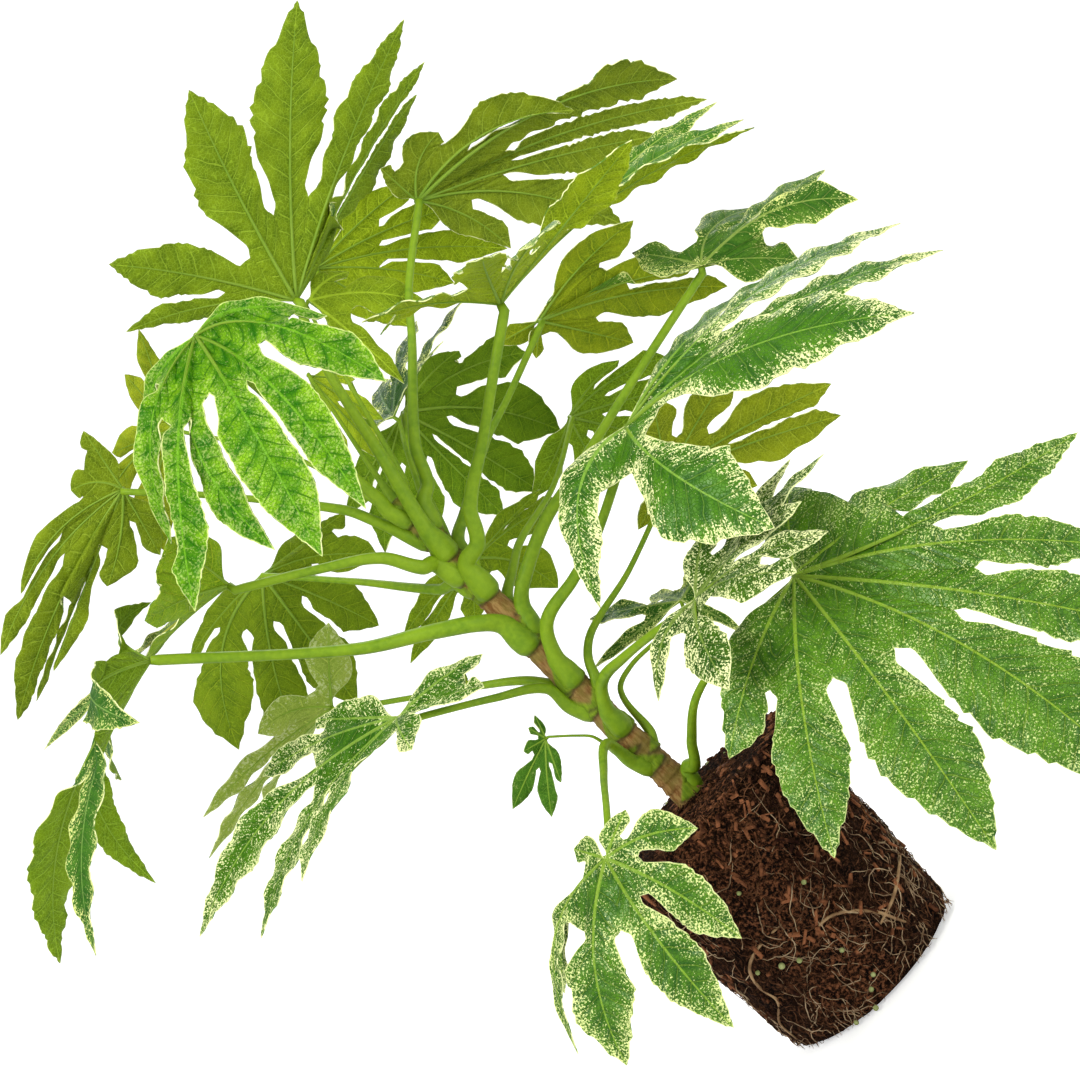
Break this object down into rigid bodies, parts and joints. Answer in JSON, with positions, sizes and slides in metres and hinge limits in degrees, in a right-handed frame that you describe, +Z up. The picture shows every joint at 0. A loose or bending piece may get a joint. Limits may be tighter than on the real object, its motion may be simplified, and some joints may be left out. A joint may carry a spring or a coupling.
{
  "type": "fatsia japonica plant",
  "caption": "Variegated fatsia with large hand-shaped lobed leaves on long stalks, upright on a bare root ball of soil and fine roots.",
  "frame": {"origin": "centre of the root ball's flat base, on the surface that the plant stands on", "axes": "+Z up the stem; -Y is the plant's front, the side that the picture shows; +X to the viewer's right"},
  "size_m": [0.4995, 0.2728, 0.4855],
  "materials": {
    "leaf_speckled": "satin green flecked with cream",
    "leaf_bright": "glossy bright green",
    "leaf_olive": "matt olive leaf underside",
    "leaf_young": "downy yellow-green",
    "petiole": "smooth bright green",
    "bark": "corky brown with leaf scars",
    "soil": "damp peat bound by fine roots"
  },
  "bodies": {
    "root": {"root_ball": "soil", "stem": "bark", "crown_blade": "leaf_olive", "crown_petiole": "petiole", "front_high_blade": "leaf_bright", "front_high_petiole": "petiole", "right_high_blade": "leaf_olive", "right_high_petiole": "petiole", "left_high_blade": "leaf_olive", "left_high_petiole": "petiole", "young_left_blade": "leaf_young", "young_left_petiole": "petiole", "young_centre_blade": "leaf_young", "young_centre_petiole": "petiole", "back_high_blade": "leaf_olive", "back_high_petiole": "petiole", "small_crown_blade": "leaf_olive", "small_crown_petiole": "petiole", "left_shoulder_blade": "leaf_speckled", "left_shoulder_petiole": "petiole", "left_far_blade": "leaf_speckled", "left_far_petiole": "petiole", "left_back_blade": "leaf_olive", "left_back_petiole": "petiole", "left_mid_front_blade": "leaf_speckled", "left_mid_front_petiole": "petiole", "left_mid_back_blade": "leaf_speckled", "left_mid_back_petiole": "petiole", "tiny_left_blade": "leaf_olive", "tiny_left_petiole": "petiole", "low_left_blade": "leaf_speckled", "low_left_petiole": "petiole", "low_right_blade": "leaf_speckled", "low_right_petiole": "petiole", "low_mid_blade": "leaf_speckled", "low_mid_petiole": "petiole", "low_back_blade": "leaf_olive", "low_back_petiole": "petiole", "right_front_blade": "leaf_speckled", "right_front_petiole": "petiole", "right_far_blade": "leaf_speckled", "right_far_petiole": "petiole", "right_mid_back_blade": "leaf_olive", "right_mid_back_petiole": "petiole", "right_back_high_blade": "leaf_olive", "right_back_high_petiole": "petiole", "right_high_side_blade": "leaf_speckled", "right_high_side_petiole": "petiole", "back_centre_blade": "leaf_olive", "back_centre_petiole": "petiole", "back_dark_blade": "leaf_olive", "back_dark_petiole": "petiole", "back_right_blade": "leaf_olive", "back_right_petiole": "petiole", "back_stem_blade": "leaf_olive", "back_stem_petiole": "petiole"}
  },
  "joints": []
}
